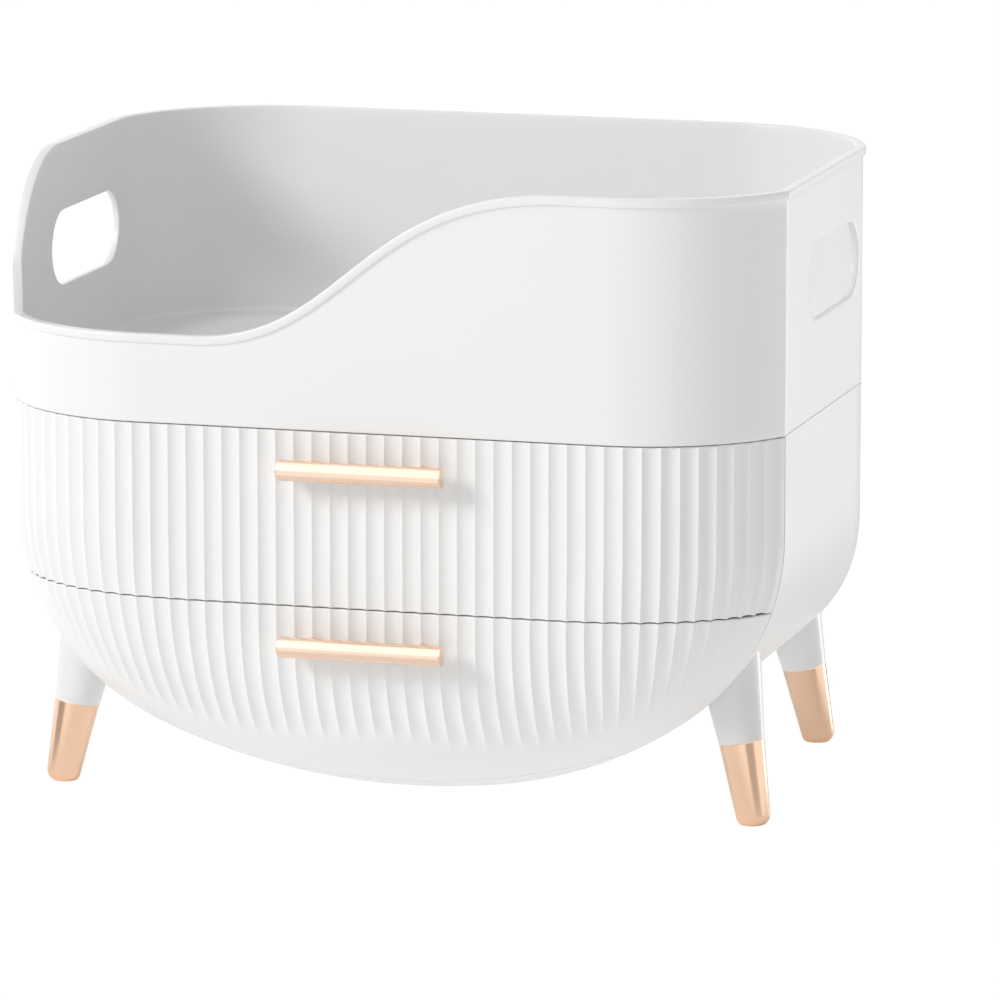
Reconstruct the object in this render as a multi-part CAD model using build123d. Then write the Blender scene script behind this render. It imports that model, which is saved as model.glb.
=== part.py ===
from build123d import *
import math
import os

# Overall size in millimetres. +X is right, +Y is to the back, +Z is up, and the feet stand on Z 0.
width = 251.5
depth = 185.4
height = 200.7

# Outline of the body, seen from above
handle_projection = 9.9
front_bow = 31.0
front_round = 56.0
back_bow = 43.9
back_round = 55.0
rim_lip = 0.6

# Outline of the body, seen from the front
belly_bottom = 3.4
side_arc = 72.0
side_arc_height = 92.4
front_side_arc = 80.0
front_sink = 0.5
seam_height = 124.6
split_height = 69.0

# Running gaps and seats
part_gap = 0.4
seat_gap = 0.1
slide_gap = 0.4
side_gap = 1.0

# Casing
casing_wall = 2.6
ledge_width = 3.0
ledge_height = 2.5
shelf_thick = 2.8
deck_height = 14.0
deck_thick = 2.4
tab_size = 12.0
tab_thick = 3.0
tab_drop = 14.0
tray_screw_x = 70.0
tray_screw_radius = 1.5
tray_screw_head = 3.4
tray_screw_head_height = 1.6
tray_screw_bite = 9.0
tray_boss_radius = 4.5

# Top tray
tray_wall = 2.5
tray_floor_rise = 7.4
tray_floor_thick = 2.6
skirt_depth = 5.0
skirt_wall = 2.0
lip_height = 3.0
low_wall_height = 20.4
low_rim_end = -56.0
high_rim_start = 62.0
low_rim_pull = 49.3
high_rim_pull = 65.3
wall_rise = 38.8
wall_rise_start = 2.5
hand_hole_length = 66.0
hand_hole_height = 24.0
hand_hole_drop = 34.0
hand_hole_y = 10.2

# Drawers
panel_wall = 2.8
tub_wall = 1.8
tub_floor = 2.0
upper_tub_drop = 6.6
lower_tub_inset = 8.5
rear_space = 14.5
slot_land = 6.5
stop_radius = 2.5
stop_height = 2.0
stop_inset = 12.0
stop_gap = 0.4

# Handles
handle_length = 52.8
handle_radius = 3.3
handle_chamfer = 0.5
handle_spacing = 36.0
handle_drop = 11.55
post_radius = 2.4
handle_screw_radius = 1.5
handle_screw_head = 3.0
handle_screw_head_height = 1.8
handle_screw_bite = 5.0

# Legs, by how far the point where each axis meets the floor lies inside the outline of the casing
front_foot_inset = 11.15
front_foot_setback = 8.5
rear_foot_inset = 20.15
rear_foot_setback = 13.1
side_splay = 10.5
front_splay = 4.5
rear_splay = 6.5
leg_length = 60.0
leg_top_radius = 10.9
cap_length = 26.0
cap_top_radius = 7.2
cap_tip_radius = 5.4
cap_tip_round = 3.6
cap_wall = 0.9
cap_floor = 3.0
tip_trim = 0.8
stud_radius = 3.0
stud_seat = 3.0
insert_radius = 4.2
insert_length = 8.0
insert_roof = 1.2
leg_boss_radius = 7.0

# Places worked out from the sizes above
half_width = width / 2 - rim_lip
front_face = -depth / 2 + handle_projection
back_face = depth / 2 - rim_lip
crease_y = front_face + front_bow
front_centre_y = front_face + front_round
front_centre_x = half_width - math.sqrt(front_round**2 - (front_round - front_bow) ** 2)
overhang = front_centre_x + front_round - half_width
back_centre_y = back_face - back_round
back_centre_x = half_width - math.sqrt(back_round**2 - (back_round - back_bow) ** 2)
casing_front = crease_y + part_gap
shelf_low = split_height - shelf_thick / 2
shelf_top = split_height + shelf_thick / 2
deck_top = deck_height + deck_thick
tub_back = back_face - casing_wall - rear_space
stop_y = tub_back - stop_inset
drawer_travel = stop_y - casing_front - slot_land - stop_radius - stop_gap
tray_screw_y = back_face - casing_wall - tab_size / 2 - seat_gap
tray_floor_height = seam_height + tray_floor_rise
low_rim_height = tray_floor_height + low_wall_height
upper_handle_height = seam_height - handle_drop
lower_handle_height = split_height - handle_drop
beyond = 40.0
side_slope = math.tan(math.radians(side_splay))
stud_low = cap_length + stud_seat
stud_bore = stud_radius + seat_gap / 2
insert_top = leg_length - insert_roof
insert_low = insert_top - insert_length
front_foot_x = half_width - front_foot_inset
front_foot_y = crease_y + front_foot_setback
rear_foot_x = half_width - rear_foot_inset
rear_foot_y = back_face - rear_foot_setback
legs = [
    ("front_left", -front_foot_x, front_foot_y, front_splay),
    ("front_right", front_foot_x, front_foot_y, front_splay),
    ("rear_left", -rear_foot_x, rear_foot_y, rear_splay),
    ("rear_right", rear_foot_x, rear_foot_y, rear_splay),
]


# A box given by its two corners
def block(low, high):
    size = [b - a for a, b in zip(low, high)]
    return Pos(*[(a + b) / 2 for a, b in zip(low, high)]) * Box(*size)


# The part of space between two heights
def heights(low, high):
    return block((-width, -2 * depth, low), (width, 2 * depth, high))


# The part of space between two depths
def depths(low, high):
    return block((-width, low, -height), (width, high, 2 * height))


# A point at an angle on a circle, in a plane given by a function of two coordinates
def on_circle(place, centre, radius, angle):
    return place(centre[0] + radius * math.cos(angle), centre[1] + radius * math.sin(angle))


# An arc between two angles, through its middle
def arc(place, centre, radius, start, end):
    return ThreePointArc(*[on_circle(place, centre, radius, a) for a in (start, (start + end) / 2, end)])


# A closed face from a right-hand outline that runs between two points on the middle line
def mirrored_face(place, steps):
    edges = []
    for side in (1, -1):
        def here(a, b, side=side):
            return place(side * a, b)
        for step in steps:
            if step[0] == "line":
                edges.append(Line(here(*step[1]), here(*step[2])))
            else:
                edges.append(arc(here, *step[1:]))
    return make_face(edges)


# Outline seen from above, inset by a wall, from the bowed front to the rounded back
def plan_face(inset, level):
    half = half_width - inset
    front_radius = front_round - inset
    back_radius = back_round - inset
    front_angle = -math.acos((half - front_centre_x) / front_radius)
    back_angle = math.acos((half - back_centre_x) / back_radius)
    front_end = (half, front_centre_y + front_radius * math.sin(front_angle))
    back_start = (half, back_centre_y + back_radius * math.sin(back_angle))
    steps = [
        ("line", (0, front_face + inset), (front_centre_x, front_face + inset)),
        ("arc", (front_centre_x, front_centre_y), front_radius, -math.pi / 2, front_angle),
        ("line", front_end, back_start),
        ("arc", (back_centre_x, back_centre_y), back_radius, back_angle, math.pi / 2),
        ("line", (back_centre_x, back_face - inset), (0, back_face - inset)),
    ]
    return mirrored_face(lambda x, y: (x, y, level), steps)


# The space inside that outline between two heights
def plan_block(inset, low, high):
    return extrude(plan_face(inset, low), high - low, dir=(0, 0, 1))


# The space between the plan outlines at two insets
def plan_ring(outer, inner, low, high):
    return plan_block(outer, low, high) - plan_block(inner, low - 1, high + 1)


# U-shaped outline seen from the front: straight sides, side arcs and a wide bottom arc, all tangent
def arch_face(half, radius, bottom, place_y):
    centre = half - radius
    drop = side_arc_height - bottom
    wide = (centre**2 + drop**2 - radius**2) / (2 * (drop - radius))
    turn = math.atan2(centre, bottom + wide - side_arc_height) - math.pi / 2
    top = height + beyond
    steps = [
        ("arc", (0, bottom + wide), wide, -math.pi / 2, turn),
        ("arc", (centre, side_arc_height), radius, turn, 0),
        ("line", (half, side_arc_height), (half, top)),
        ("line", (half, top), (0, top)),
    ]
    return mirrored_face(lambda x, z: (x, place_y, z), steps)


# The space inside the U-shaped outline of the casing
def arch_block(inset):
    face = arch_face(half_width - inset, side_arc - inset, belly_bottom + inset, -depth)
    return extrude(face, 2 * depth, dir=(0, 1, 0))


# The space behind the bowed front: a wider and deeper U whose front rim is rounded all the way
def front_block(inset):
    start = front_face + inset
    half = half_width + overhang - inset
    face = arch_face(half, front_side_arc - inset, belly_bottom - front_sink + inset, start)
    solid = extrude(face, 2 * depth, dir=(0, 1, 0))
    rim = [edge for edge in solid.edges().filter_by_position(Axis.Y, start - 1, start + 1)
           if edge.center().Z < height + beyond - 1]
    return fillet(rim, front_round - inset)


# The space in front of the rounded back
def back_block(inset):
    half = half_width + beyond
    radius = back_round - inset
    steps = [
        ("line", (0, -depth), (half, -depth)),
        ("line", (half, -depth), (half, back_centre_y)),
        ("line", (half, back_centre_y), (back_centre_x + radius, back_centre_y)),
        ("arc", (back_centre_x, back_centre_y), radius, 0, math.pi / 2),
        ("line", (back_centre_x, back_face - inset), (0, back_face - inset)),
    ]
    face = mirrored_face(lambda x, y: (x, y, -beyond), steps)
    return extrude(face, height + 2 * beyond, dir=(0, 0, 1))


# The body's form inset by a wall at the sides and at the front, between two heights
def body_form(side_inset, front_inset, low, high):
    form = arch_block(side_inset) & front_block(front_inset) & back_block(side_inset)
    return form & heights(low, high)


# Casing: U-shaped shell open at the front and the top, with ledges, screw tabs and leg bosses
def casing_shell():
    shell = body_form(0, 0, 0, seam_height) & depths(casing_front, depth)
    bay = body_form(casing_wall, casing_wall, deck_height, seam_height + 1)
    hollow = body_form(casing_wall, casing_wall, 0, deck_height + 1) & depths(front_centre_y, depth)
    shell -= bay + hollow
    shell += shelf_ledge() + tray_tabs() + leg_bosses()
    for leg in legs:
        shell -= leg_place(leg) * leg_bore()
    return shell


# Ledge round the inside of the casing, under the shelf
def shelf_ledge():
    low = shelf_low - ledge_height
    outer = body_form(casing_wall / 2, casing_wall / 2, low, shelf_low)
    inner = body_form(casing_wall + ledge_width, casing_wall + ledge_width, low - 1, shelf_low + 1)
    return (outer - inner) & depths(casing_front, depth)


# Two tabs on the back wall that take the screws of the tray
def tray_tabs():
    tabs = Part()
    top = seam_height - tab_drop
    back = back_face - casing_wall / 2
    front = back_face - casing_wall - tab_size
    for side in (-1, 1):
        x = side * tray_screw_x
        tab = block((x - tab_size / 2, front, top - tab_thick), (x + tab_size / 2, back, top))
        hole = Pos(x, tray_screw_y, top) * Cylinder(tray_screw_radius + 2 * seat_gap, 3 * tab_thick)
        tabs += tab - hole
    return tabs


# Middle shelf that carries the upper drawer
def drawer_shelf():
    inset = casing_wall + seat_gap
    shelf = body_form(inset, inset, shelf_low, shelf_top) & depths(casing_front, depth)
    return shelf - stop_slot(shelf_low, shelf_top)


# Deck in the bottom of the casing that carries the lower drawer
def drawer_deck():
    deck = body_form(casing_wall, casing_wall, deck_height, deck_top) & depths(casing_front, depth)
    return deck - stop_slot(deck_height, deck_top)


# Slot that lets a drawer's stop run forward by its travel
def stop_slot(low, high):
    reach = stop_radius + stop_gap
    middle = block((-reach, stop_y - drawer_travel, low - 1), (reach, stop_y, high + 1))
    ends = [block_cylinder(0, y, reach, low - 1, high + 1) for y in (stop_y - drawer_travel, stop_y)]
    return middle + ends


# Round stop under the back of a drawer
def stop_pin(level):
    return block_cylinder(0, stop_y, stop_radius, level - stop_height, level)


# Drawer tub: floor and walls that follow the casing and the bowed front
def drawer_tub(side_inset, half, low, high, screw_height):
    outer = body_form(side_inset, panel_wall, low, high)
    outer &= block((-half, -depth, low), (half, tub_back, high))
    inner = body_form(side_inset + tub_wall, panel_wall + tub_wall, low + tub_floor, high + 1)
    inner &= block((tub_wall - half, -depth, low), (half - tub_wall, tub_back - tub_wall, high + 1))
    tub = outer - inner
    for side in (-1, 1):
        x = side * handle_spacing / 2
        head_face = front_face + panel_wall + tub_wall
        tub -= along_y(x, screw_height, handle_screw_radius + seat_gap, front_face, head_face + 1)
        tub -= along_y(x, screw_height, handle_screw_head + seat_gap, head_face, head_face + handle_screw_head_height)
    return tub + stop_pin(low)


def upper_drawer_tub():
    low = shelf_top + slide_gap
    inset = casing_wall + side_gap
    return drawer_tub(inset, half_width, low, seam_height - upper_tub_drop, upper_handle_height)


def lower_drawer_tub():
    low = deck_top + slide_gap
    high = shelf_low - ledge_height - slide_gap
    boss_reach = side_slope * leg_length + leg_boss_radius
    half = min(front_foot_x, rear_foot_x) - boss_reach - side_gap
    return drawer_tub(lower_tub_inset, half, low, high, lower_handle_height)


# Bowed front of a drawer, with a hole for each handle post
def drawer_front(low, high, post_height):
    panel = body_form(0, 0, low, high) - body_form(panel_wall, panel_wall, low - 1, high + 1)
    panel &= depths(-depth, crease_y)
    for side in (-1, 1):
        x = side * handle_spacing / 2
        panel -= along_y(x, post_height, post_radius + seat_gap, front_face - 1, crease_y)
    return panel


def upper_drawer_front():
    return drawer_front(split_height + part_gap / 2, seam_height - part_gap, upper_handle_height)


def lower_drawer_front():
    return drawer_front(0, split_height - part_gap / 2, lower_handle_height)


# Round handle bar with chamfered ends
def handle_bar(level):
    bar = Rot(0, 90, 0) * Cylinder(handle_radius, handle_length)
    bar = chamfer(bar.edges().filter_by(GeomType.CIRCLE), handle_chamfer)
    return Pos(0, -depth / 2 + handle_radius, level) * bar


# Two posts from a bar through the front, bored for the screws
def handle_posts(level):
    inner_face = front_face + panel_wall
    start = -depth / 2 + handle_radius
    posts = Part()
    for side in (-1, 1):
        x = side * handle_spacing / 2
        post = along_y(x, level, post_radius, start, inner_face)
        post -= along_y(x, level, handle_screw_radius, inner_face - handle_screw_bite, inner_face + 1)
        posts += post
    return posts - handle_bar(level)


# Two screws that clamp the tub and the front to the posts
def handle_screws(level):
    inner_face = front_face + panel_wall
    head_face = inner_face + tub_wall
    screws = Part()
    for side in (-1, 1):
        x = side * handle_spacing / 2
        screws += along_y(x, level, handle_screw_radius, inner_face - handle_screw_bite, head_face)
        screws += along_y(x, level, handle_screw_head, head_face, head_face + handle_screw_head_height)
    return screws


# A cylinder along Y between two depths
def along_y(x, z, radius, start, end):
    return Pos(x, (start + end) / 2, z) * Rot(90, 0, 0) * Cylinder(radius, end - start)


# The space under the rim of the tray, lowered by a drop
def under_rim(drop):
    high = height - drop
    low = low_rim_height - drop
    corner_y = crease_y - wall_rise_start
    edge_x = half_width + beyond
    rise = Bezier((low_rim_end, -depth, low), (low_rim_end + low_rim_pull, -depth, low),
                  (high_rim_start - high_rim_pull, -depth, high), (high_rim_start, -depth, high))
    corners = [(high_rim_start, high), (edge_x, high), (edge_x, 0), (-edge_x, 0), (-edge_x, low), (low_rim_end, low)]
    outline = Polyline(*[(x, -depth, z) for x, z in corners])
    front = extrude(make_face([rise, outline]), depth + corner_y, dir=(0, 1, 0))
    rise_end = corner_y + wall_rise
    quarter = 90
    curve = EllipticalCenterArc((0, 0), wall_rise, height - low_rim_height, quarter, arc_size=quarter)
    side_plane = Plane(origin=(-edge_x, rise_end, low), x_dir=(0, 1, 0), z_dir=(1, 0, 0))
    curve = side_plane * curve
    corners = [(corner_y, low), (corner_y, 0), (depth, 0), (depth, high), (rise_end, high)]
    outline = Polyline(*[(-edge_x, y, z) for y, z in corners])
    left = extrude(make_face([curve, outline]), edge_x, dir=(1, 0, 0))
    right = block((0, corner_y, 0), (edge_x, depth, high))
    return front + left + right


# Top tray: walls with the sweeping rim and its lip, hand holes, floor, skirt and screw bosses
def top_tray():
    floor_low = tray_floor_height - tray_floor_thick
    skirt_outer = casing_wall + seat_gap
    skirt_inner = skirt_outer + skirt_wall
    tray = plan_block(0, seam_height, height)
    tray -= plan_block(tray_wall, tray_floor_height, height + 1)
    tray -= plan_block(skirt_inner, seam_height - 1, floor_low)
    tray &= under_rim(0)
    lip = plan_ring(-rim_lip, tray_wall, low_rim_height - 2 * lip_height, height)
    tray += (lip & under_rim(0)) - under_rim(lip_height)
    skirt = plan_ring(skirt_outer, skirt_inner, seam_height - skirt_depth, seam_height + 1)
    tray += skirt & depths(casing_front + slide_gap, depth)
    tray -= hand_holes()
    boss_low = seam_height - tab_drop
    for side in (-1, 1):
        x = side * tray_screw_x
        boss = block_cylinder(x, tray_screw_y, tray_boss_radius, boss_low, floor_low + 1)
        tray += boss - block_cylinder(x, tray_screw_y, tray_screw_radius, boss_low - 1, boss_low + tray_screw_bite)
    return tray


# An upright cylinder between two heights
def block_cylinder(x, y, radius, low, high):
    return Pos(x, y, (low + high) / 2) * Cylinder(radius, high - low)


# Rounded slot through both side walls
def hand_holes():
    radius = hand_hole_height / 2
    reach = hand_hole_length / 2 - radius
    span = 2 * width
    level = height - hand_hole_drop
    slot = Pos(0, hand_hole_y, level) * Box(span, 2 * reach, hand_hole_height)
    for side in (-1, 1):
        slot += Pos(0, hand_hole_y + side * reach, level) * Rot(0, 90, 0) * Cylinder(radius, span)
    return slot


# Two screws up through the tabs into the bosses of the tray
def tray_screws():
    top = seam_height - tab_drop
    head_top = top - tab_thick
    screws = Part()
    for side in (-1, 1):
        x = side * tray_screw_x
        screws += block_cylinder(x, tray_screw_y, tray_screw_radius, head_top, top + tray_screw_bite - 1)
        screws += block_cylinder(x, tray_screw_y, tray_screw_head, head_top - tray_screw_head_height, head_top)
    return screws


# Where a leg's axis meets the floor, turned outwards to the side and to the front or back
def leg_place(leg):
    name, x, y, splay = leg
    lean = (-math.copysign(side_slope, x), -math.copysign(math.tan(math.radians(splay)), y), 1)
    return Plane(origin=(x, y, 0), z_dir=lean).location


# A solid turned about a leg's axis from its half profile
def turned(points):
    profile = Polyline(*[(r, 0, z) for r, z in points], close=True)
    return revolve(make_face(profile), Axis.Z)


# White leg: tapered above the cap, with a core inside it, cut to the casing and bored for its stud
def leg_solid(leg):
    neck = cap_wall + seat_gap
    core_low = cap_floor + seat_gap
    core = [(0, core_low), (cap_radius_at(core_low) - neck, core_low), (cap_top_radius - neck, cap_length)]
    shaft = turned(core + [(cap_top_radius, cap_length), (leg_top_radius, leg_length), (0, leg_length)])
    shaft -= block_cylinder(0, 0, stud_bore, stud_low, leg_length + 1)
    return leg_place(leg) * shaft - body_form(0, 0, 0, seam_height)


# Outer radius of the tapered cap at a distance along the axis
def cap_radius_at(distance):
    return cap_tip_radius + (cap_top_radius - cap_tip_radius) * distance / cap_length


# Metal cap over the lower end of a leg, cut flat where it stands
def leg_cap(leg):
    bore = cap_top_radius - cap_wall
    outer = turned([(0, -tip_trim), (cap_tip_radius, -tip_trim), (cap_top_radius, cap_length), (0, cap_length)])
    outer = fillet(outer.edges().sort_by(Axis.Z)[0], cap_tip_round)
    inner = turned([(0, cap_floor), (cap_radius_at(cap_floor) - cap_wall, cap_floor), (bore, cap_length),
                    (bore, cap_length + 1), (0, cap_length + 1)])
    return leg_place(leg) * (outer - inner) & heights(0, height)


# Threaded stud moulded into a leg, up into the insert
def leg_stud(leg):
    return leg_place(leg) * block_cylinder(0, 0, stud_radius, stud_low, insert_top - seat_gap)


# Metal insert in the boss of the casing
def leg_insert(leg):
    sleeve = block_cylinder(0, 0, insert_radius, insert_low, insert_top)
    return leg_place(leg) * (sleeve - block_cylinder(0, 0, stud_bore, insert_low - 1, insert_top + 1))


# Bore for an insert, closed at its top
def leg_bore():
    return block_cylinder(0, 0, insert_radius + seat_gap / 2, cap_length, insert_top)


# Bosses inside the casing, in line with the legs
def leg_bosses():
    bosses = Part()
    for leg in legs:
        bosses += leg_place(leg) * block_cylinder(0, 0, leg_boss_radius, cap_length, leg_length)
    return bosses & body_form(0, 0, 0, seam_height)


def main():
    os.makedirs("parts", exist_ok=True)
    pieces = {
        "casing_shell": casing_shell(),
        "top_tray": top_tray(),
        "drawer_shelf": drawer_shelf(),
        "drawer_deck": drawer_deck(),
        "upper_drawer_tub": upper_drawer_tub(),
        "lower_drawer_tub": lower_drawer_tub(),
        "upper_drawer_front": upper_drawer_front(),
        "lower_drawer_front": lower_drawer_front(),
        "tray_screws": tray_screws(),
    }
    for name, level in (("upper", upper_handle_height), ("lower", lower_handle_height)):
        pieces[name + "_handle_bar"] = handle_bar(level)
        pieces[name + "_handle_posts"] = handle_posts(level)
        pieces[name + "_handle_screws"] = handle_screws(level)
    for leg in legs:
        pieces[leg[0] + "_leg"] = leg_solid(leg)
        pieces[leg[0] + "_leg_cap"] = leg_cap(leg)
    pieces["leg_studs"] = Part() + [leg_stud(leg) for leg in legs]
    pieces["leg_inserts"] = Part() + [leg_insert(leg) for leg in legs]
    for name, piece in pieces.items():
        export_step(piece, "parts/" + name + ".step")


main()
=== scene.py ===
"""Countertop makeup organizer with two drawers, an open tray on top and four splayed legs.

Every piece is a surface worked out from a few sizes and dressed with its own material.
Lengths are in metres: +X is right, +Y is to the back, +Z is up, and the feet stand on Z 0.
"""

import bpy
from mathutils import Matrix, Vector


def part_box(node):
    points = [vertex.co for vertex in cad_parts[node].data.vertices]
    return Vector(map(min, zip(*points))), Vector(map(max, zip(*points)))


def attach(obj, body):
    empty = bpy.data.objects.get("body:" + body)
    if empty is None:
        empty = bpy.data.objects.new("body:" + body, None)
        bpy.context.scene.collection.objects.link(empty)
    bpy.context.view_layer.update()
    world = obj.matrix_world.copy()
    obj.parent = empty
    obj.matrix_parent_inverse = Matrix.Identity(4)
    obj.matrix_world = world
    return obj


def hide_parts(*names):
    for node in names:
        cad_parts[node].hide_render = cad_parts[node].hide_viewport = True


bl_info = {
    "name": "Makeup Organizer",
    "version": (1, 0, 0),
    "blender": (4, 5, 0),
    "location": "View3D > Sidebar > Organizer",
    "description": "Builds a drawer organizer with fluted fronts, a sweeping tray rim and metal-tipped legs",
    "category": "Add Mesh",
}

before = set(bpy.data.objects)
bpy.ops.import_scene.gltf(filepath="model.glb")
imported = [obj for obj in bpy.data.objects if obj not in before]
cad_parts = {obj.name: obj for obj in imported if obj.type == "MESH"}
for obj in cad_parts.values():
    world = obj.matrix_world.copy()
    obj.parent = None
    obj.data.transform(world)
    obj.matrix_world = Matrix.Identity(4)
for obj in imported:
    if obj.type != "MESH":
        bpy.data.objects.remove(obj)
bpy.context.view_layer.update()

import math

import bmesh
import bpy
import numpy as np
from bpy.props import FloatProperty, FloatVectorProperty, IntProperty, PointerProperty
from mathutils import Matrix, Vector

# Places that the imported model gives

casing_low, casing_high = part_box("casing_shell")
upper_low, upper_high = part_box("upper_drawer_front")
half_width = casing_high.x
front_face = upper_low.y
back_face = casing_high.y
middle_y = (front_face + back_face) / 2
crease_y = upper_high.y
casing_front = casing_low.y
seam_height = casing_high.z
tray_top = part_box("top_tray")[1].z
lower_front_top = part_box("lower_drawer_front")[1].z

# Fineness, tolerances and limits that the pieces share

right_angle = math.pi / 2
halvings = 45
circle_points = 49
corner_points = 5
tiny = 1e-9
tolerance = 1e-6
merge_distance = 2e-6
least_edge = 1e-7
smooth_limit = math.radians(32)
bevel_limit = math.radians(40)


# Properties that a user can change

def number(name, default, description, **more):
    return FloatProperty(name=name, description=description, default=default, **more)


def length(name, default, description):
    return number(name, default, description, unit="LENGTH", precision=4)


def angle(name, degrees, description):
    return number(name, math.radians(degrees), description, unit="ROTATION")


def count(name, default, description):
    return IntProperty(name=name, description=description, default=default, min=1)


def colour(name, default, description):
    return FloatVectorProperty(name=name, description=description, default=default, subtype="COLOR",
                               min=0, max=1)


class BodySizes(bpy.types.PropertyGroup):
    """Sizes of the form that the casing, the drawers and the tray share"""

    front_round: length("Front round", 0.056, "Radius between the front and the sides and belly")
    front_side_arc: length("Front side arc", 0.080, "Radius of the lower corners of the rounded front")
    front_sink: length("Front sink", 0.0005, "How far the rounded front reaches below the belly")
    back_round: length("Back round", 0.055, "Radius of the upright back corners")
    back_bow: length("Back bow", 0.0439, "Depth of the rounded back corners")
    belly_bottom: length("Belly bottom", 0.0034, "Height of the belly over the floor")
    side_arc: length("Side arc", 0.072, "Radius of the lower corners, seen from the front")
    side_arc_height: length("Side arc height", 0.0924, "Height where the sides start to round in")
    casing_wall: length("Casing wall", 0.0026, "Wall of the casing")
    deck_height: length("Deck height", 0.014, "Height of the sill in front of the deck")
    crease_round: length("Crease round", 0.001, "Radius of the upright edge between front and side")
    inner_crease: length("Inner crease", 0.0005, "Least radius of that edge further into the wall")
    edge_round: length("Edge round", 0.0004, "Radius of the small moulded edges")


class TraySizes(bpy.types.PropertyGroup):
    """Sizes of the top tray"""

    wall: length("Wall", 0.0025, "Wall of the tray")
    floor_rise: length("Floor rise", 0.0074, "Height of the tray floor over its lower edge")
    floor_thick: length("Floor thickness", 0.0026, "Thickness of the floor")
    floor_round: length("Floor round", 0.002, "Radius between wall and floor")
    skirt_inset: length("Skirt inset", 0.0027, "Inset of the locating skirt under the tray")
    skirt_wall: length("Skirt wall", 0.002, "Wall of the locating skirt")
    skirt_depth: length("Skirt depth", 0.005, "How far the skirt reaches into the casing")
    skirt_trace: length("Skirt trace", 5e-5, "How far the skirt reaches down over the drawers")
    lip: length("Lip", 0.0009, "How far the rim's lip stands proud of the wall")
    lip_height: length("Lip height", 0.003, "Height of the rim's lip")
    lip_round: length("Lip round", 0.0005, "Radius of the rim's edges")
    low_wall: length("Low wall", 0.0204, "Height of the low part of the rim over the floor")
    low_end: length("Low end", -0.056, "Where the low part of the front rim ends, from the middle")
    high_start: length("High start", 0.062, "Where the high part of the front rim starts, from the middle")
    low_pull: length("Low pull", 0.0493, "How far the sweep stays low")
    high_pull: length("High pull", 0.0653, "How far the sweep stays high")
    rise_length: length("Rise length", 0.0388, "Depth of the left wall's rounded rise")
    rise_start: length("Rise start", 0.0025, "How far ahead of the crease the left wall rises")
    hole_length: length("Hand hole length", 0.066, "Length of the hand holes")
    hole_height: length("Hand hole height", 0.024, "Height of the hand holes")
    hole_drop: length("Hand hole drop", 0.034, "Depth of the hand holes' middle under the rim")
    hole_y: length("Hand hole place", 0.0102, "Place of the hand holes' middle along the side")
    hole_round: length("Hand hole edge", 0.0006, "Radius of the hand holes' edges")
    hole_margin: length("Hand hole margin", 0.0035, "Least margin of finer surface round the hand holes")
    hole_row_count: count("Hand hole rows", 14, "Rows left out round a hand hole")


class DrawerSizes(bpy.types.PropertyGroup):
    """Sizes of the drawers"""

    flute_pitch: length("Flute pitch", 0.00584, "Width of one flute along the front")
    flute_depth: length("Flute depth", 0.0009, "Depth of one flute")
    flute_count: count("Flutes", 23, "Flutes on each side of the middle")
    fade_side: length("Fade at the sides", 0.008, "How far from the edge a side flute is half gone")
    fade_middle: length("Fade in the middle", 0.025, "How far from the edge a middle flute is half gone")
    fade_bend: number("Fade bend", 0.15, "Roundness of the line of the fade")
    fade_length: length("Fade length", 0.009, "Length over which a flute runs out")
    front_reach: length("Front reach", 0.00035, "How far the fronts reach behind the crease")
    panel_wall: length("Front wall", 0.0028, "Wall of the drawer fronts")
    side_end: number("Side end", 0.75, "Share of the half width at whose height the side lines end")


class MetalSizes(bpy.types.PropertyGroup):
    """Sizes of the handles and the legs"""

    bar_round: length("Bar round", 0.0005, "Radius at the ends of the handle bars")
    leg_top_radius: length("Leg top radius", 0.0109, "Radius of a leg at its inner end")
    leg_length: length("Leg length", 0.060, "Length of a leg along its axis, up into the casing")
    leg_sink: length("Leg sink", 0.0012, "How far a leg's top lies inside the casing's face")
    cap_length: length("Cap length", 0.026, "Length of a metal cap along the leg's axis")
    cap_top_radius: length("Cap top radius", 0.0072, "Radius of a cap at its upper edge")
    cap_tip_radius: length("Cap tip radius", 0.0054, "Radius of a cap at its tip")
    cap_tip_round: length("Cap tip round", 0.0036, "Radius of the rounded tip")
    cap_edge: length("Cap edge", 0.00015, "Small bevel where a cap meets its leg")
    tip_trim: length("Tip trim", 0.0008, "How much the tip is cut flat on the floor")
    side_splay: angle("Side splay", 10.5, "Lean of a leg to its side")
    front_splay: angle("Front splay", 4.5, "Lean of a front leg to the front")
    rear_splay: angle("Rear splay", 6.5, "Lean of a rear leg to the back")
    front_inset: length("Front foot inset", 0.01115, "Inset of a front foot from the side")
    front_setback: length("Front foot setback", 0.0085, "Distance of a front foot behind the crease")
    rear_inset: length("Rear foot inset", 0.02015, "Inset of a rear foot from the side")
    rear_setback: length("Rear foot setback", 0.0131, "Distance of a rear foot ahead of the back")


class Finishes(bpy.types.PropertyGroup):
    """Colours of the materials"""

    white: colour("White plastic", (0.83, 0.828, 0.82), "Outer mouldings")
    # The leg plastic is the white plastic made darker: painted shade, standing in for the shade the legs
    # stand in under the body.
    leg: colour("Leg plastic", (0.76, 0.758, 0.75), "Upper parts of the legs")
    inner: colour("Inner plastic", (0.76, 0.76, 0.755), "Drawer tubs, shelf and deck")
    gold: colour("Rose gold", (0.93, 0.635, 0.45), "Leg caps")
    # The handles' rose gold is the caps' rose gold made paler: painted reflection, standing in for the bright
    # surroundings that the bars reflect.
    pale_gold: colour("Pale rose gold", (0.93, 0.695, 0.55), "Handles")
    steel: colour("Steel", (0.60, 0.60, 0.61), "Screws and studs")
    brass: colour("Brass", (0.70, 0.52, 0.24), "Threaded inserts")


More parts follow.
